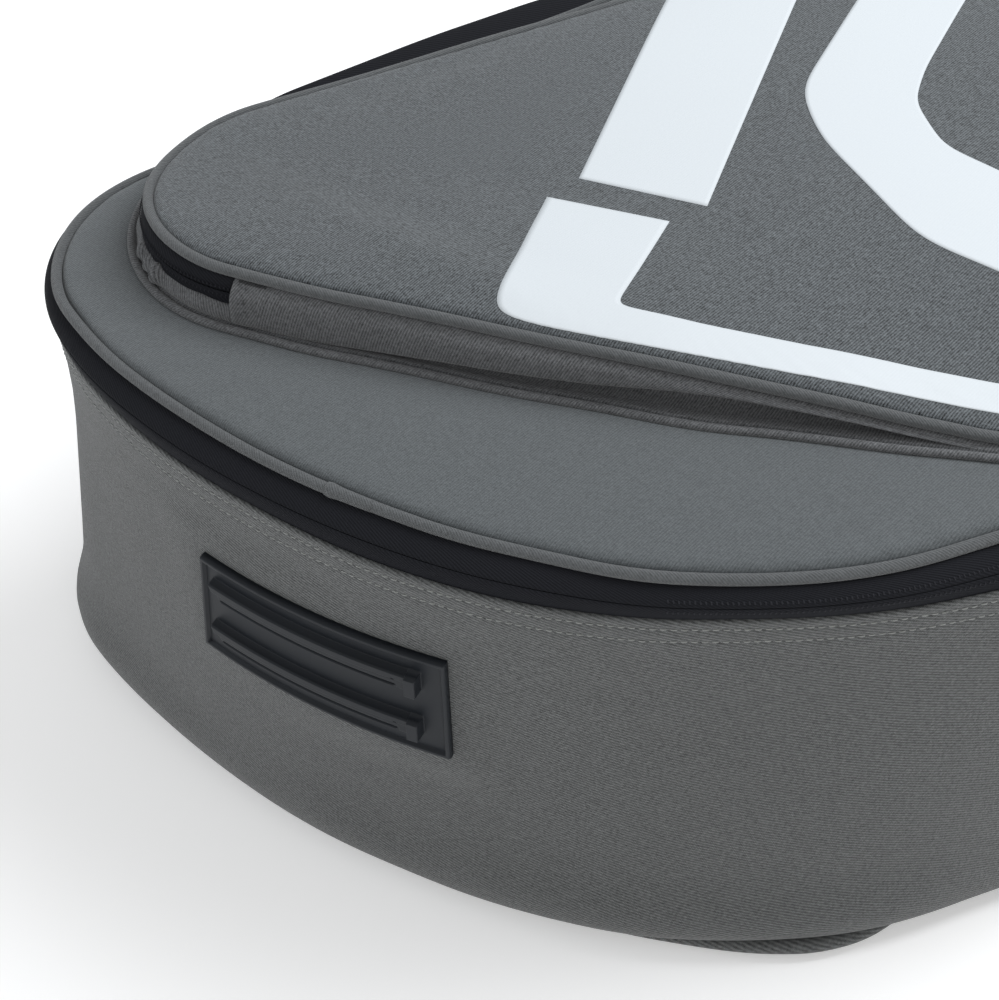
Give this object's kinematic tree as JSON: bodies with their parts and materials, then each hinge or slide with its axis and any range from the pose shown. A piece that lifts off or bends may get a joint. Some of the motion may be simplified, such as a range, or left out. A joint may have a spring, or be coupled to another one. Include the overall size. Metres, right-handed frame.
{
  "type": "racket bag",
  "caption": "Padded racket bag with a zipped opening front, a zipped front pocket with piped edges, a carry handle, shoulder straps and a rubber bumper plate on its curved wall.",
  "frame": {"origin": "on the ground plane under the bag, on the line through the middle of the curved end, 186 mm in from that end's fold", "axes": "+Z out of the front face with the bag lying on its back, +Y towards the carry handle, +X across the bag, to the right as seen from the front"},
  "size_m": [0.494, 0.4372, 0.2242],
  "materials": {
    "shell": "mid-grey woven polyester twill",
    "panel": "mid-grey woven polyester twill, slightly cooler",
    "piping": "fabric-covered piping cord, satin",
    "zip_tape": "black reverse-coil zip tape",
    "lining": "dark brushed lining",
    "webbing": "black woven webbing",
    "padding": "black padded mesh",
    "rubber": "moulded matt rubber",
    "slider_metal": "black lacquered die-cast",
    "pull_rubber": "soft moulded pull"
  },
  "bodies": {
    "case": {"back_panel": "shell", "back_piping": "piping", "wall_near": "shell", "wall_far": "shell", "floor_pad": "lining", "retaining_strap": "webbing", "back_pad_centre": "padding", "back_pad_left": "padding", "back_pad_right": "padding", "rubber_plate": "rubber", "zip_tape_lower": "zip_tape", "hinge_panel": "shell", "shoulder_strap_left": "padding", "shoulder_strap_right": "padding", "strap_webbing_left": "webbing", "strap_webbing_right": "webbing", "strap_anchor_left": "webbing", "strap_anchor_right": "webbing", "handle_mount_left": "webbing", "handle_mount_right": "webbing"},
    "lid": {"front_panel": "panel", "front_piping": "piping", "piping_splice": "piping", "zip_tape_upper": "zip_tape", "pocket_flange": "panel", "pocket_gusset": "panel", "pocket_zip_lower": "zip_tape", "zip_end_cover_left": "panel", "zip_end_cover_right": "panel"},
    "pocket_flap": {"pocket_panel": "panel", "pocket_piping": "piping", "pocket_zip_upper": "zip_tape"},
    "handle": {"carry_handle": "padding"},
    "slider_a": {"main_slider_a": "slider_metal"},
    "pull_a": {"main_pull_a": "pull_rubber"},
    "slider_b": {"main_slider_b": "slider_metal"},
    "pull_b": {"main_pull_b": "pull_rubber"},
    "slider_pocket": {"pocket_slider": "slider_metal"},
    "pull_pocket": {"pocket_pull": "pull_rubber"}
  },
  "joints": [
    {"name": "lid_hinge", "type": "hinge", "parent": "case", "child": "lid", "pos_m": [0, 0.222, 0.2008], "axis": [-1, 0, 0], "range_deg": [0, 105]},
    {"name": "pocket_flap_hinge", "type": "hinge", "parent": "lid", "child": "pocket_flap", "pos_m": [0, -0.101, 0.2186], "axis": [1, 0, 0], "range_deg": [0, 75]},
    {"name": "handle_swing", "type": "hinge", "parent": "case", "child": "handle", "pos_m": [0.069, 0.235, 0.1], "axis": [1, 0, 0], "range_deg": [0, 165]},
    {"name": "slider_a_run", "type": "slide", "parent": "case", "child": "slider_a", "axis": [0.2079, -0.9781, 0], "range_m": [0, 0.07]},
    {"name": "pull_a_swing", "type": "hinge", "parent": "slider_a", "child": "pull_a", "pos_m": [0.22752, 0.05482, 0.1962], "axis": [0, 0, 1], "range_deg": [0, 120]},
    {"name": "slider_b_run", "type": "slide", "parent": "case", "child": "slider_b", "axis": [-0.2079, 0.9781, 0], "range_m": [0, 0.07]},
    {"name": "pull_b_swing", "type": "hinge", "parent": "slider_b", "child": "pull_b", "pos_m": [0.22253, 0.07829, 0.1962], "axis": [0, 0, -1], "range_deg": [0, 120]},
    {"name": "pocket_slider_run", "type": "slide", "parent": "lid", "child": "slider_pocket", "axis": [-0.2419, 0.9703, 0], "range_m": [0, 0.05]},
    {"name": "pocket_pull_swing", "type": "hinge", "parent": "slider_pocket", "child": "pull_pocket", "pos_m": [0.19403, 0.05609, 0.2186], "axis": [0, 0, -1], "range_deg": [0, 120]}
  ]
}
